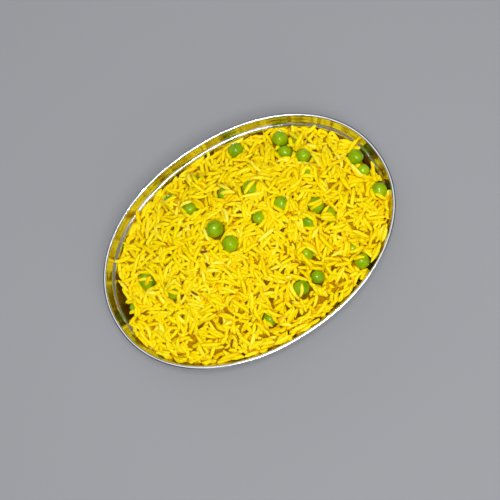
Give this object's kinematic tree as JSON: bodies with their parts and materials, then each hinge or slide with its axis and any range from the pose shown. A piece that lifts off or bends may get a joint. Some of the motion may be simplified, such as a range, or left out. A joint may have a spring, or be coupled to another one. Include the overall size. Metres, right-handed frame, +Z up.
{
  "type": "plate of pea pulao",
  "caption": "Oval stainless-steel serving dish with a rolled edge and an inner ledge, heaped above its rim with yellow long-grain rice; green peas and cumin seeds lie in the rice.",
  "frame": {"origin": "middle of the dish's flat foot, which the part stands on", "axes": "+X along the oval dish, +Y across it to the side where the rice lies lowest against the wall, +Z up"},
  "size_m": [0.178, 0.1264, 0.0512],
  "materials": {
    "steel": "polished pressed sheet with fine rubbing marks",
    "rice": "moist cooked grains, deep and pale yellow, slightly glossy",
    "peas": "glossy, slightly wrinkled cooked skin"
  },
  "bodies": {
    "root": {"dish": "steel", "rice": "rice", "pea_01": "peas", "pea_02": "peas", "pea_03": "peas", "pea_04": "peas", "pea_05": "peas", "pea_06": "peas", "pea_07": "peas", "pea_08": "peas", "pea_09": "peas", "pea_10": "peas", "pea_11": "peas", "pea_12": "peas", "pea_13": "peas", "pea_14": "peas", "pea_15": "peas", "pea_16": "peas", "pea_17": "peas", "pea_18": "peas", "pea_19": "peas", "pea_20": "peas", "pea_21": "peas", "pea_22": "peas", "pea_23": "peas", "pea_24": "peas", "pea_25": "peas", "pea_26": "peas", "pea_27": "peas", "pea_28": "peas", "pea_29": "peas", "pea_30": "peas"}
  },
  "joints": []
}
